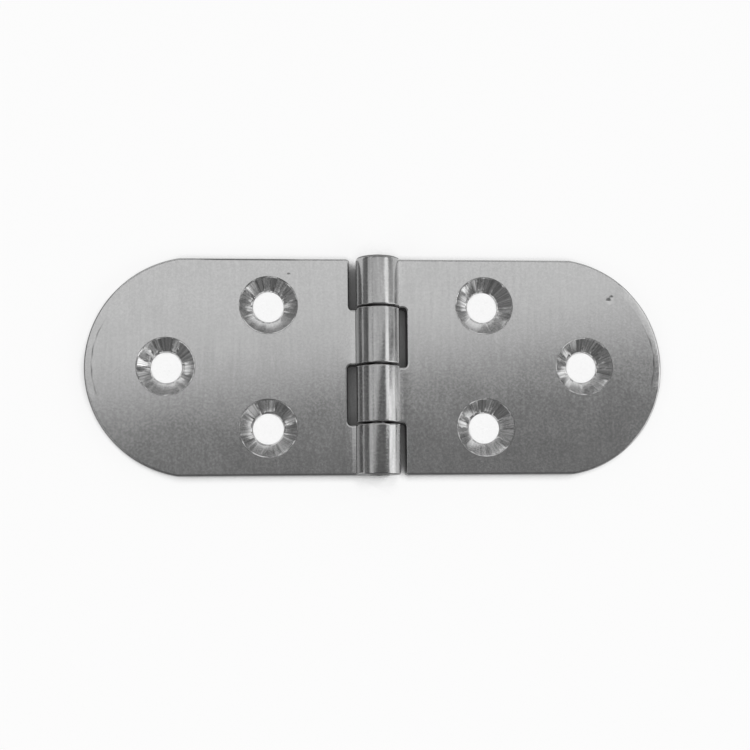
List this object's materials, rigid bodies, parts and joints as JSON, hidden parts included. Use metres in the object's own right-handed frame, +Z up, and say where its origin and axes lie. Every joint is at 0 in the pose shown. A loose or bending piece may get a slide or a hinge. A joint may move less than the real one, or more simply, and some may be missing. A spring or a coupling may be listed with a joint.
{
  "type": "door hinge",
  "caption": "Open surface hinge of brushed steel: two flat leaves with rounded ends and countersunk holes, rolled knuckles on a headed pin.",
  "frame": {"origin": "middle of the open hinge on the plane it is screwed to, under the pin", "axes": "+X from the fixed leaf to the moving leaf, +Y along the pin, +Z up from the mounting plane to the countersunk side"},
  "size_m": [0.08, 0.0308, 0.006],
  "materials": {
    "leaf_steel": "brushed along the pin, knuckles smoother",
    "pin_steel": "turned, heads peened"
  },
  "bodies": {
    "fixed_side": {"fixed_leaf": "leaf_steel", "hinge_pin": "pin_steel"},
    "moving_side": {"moving_leaf": "leaf_steel"}
  },
  "joints": [
    {"name": "pin_hinge", "type": "hinge", "parent": "fixed_side", "child": "moving_side", "pos_m": [0, 0, 0.003], "axis": [0, -1, 0], "range_deg": [-90, 180]}
  ]
}
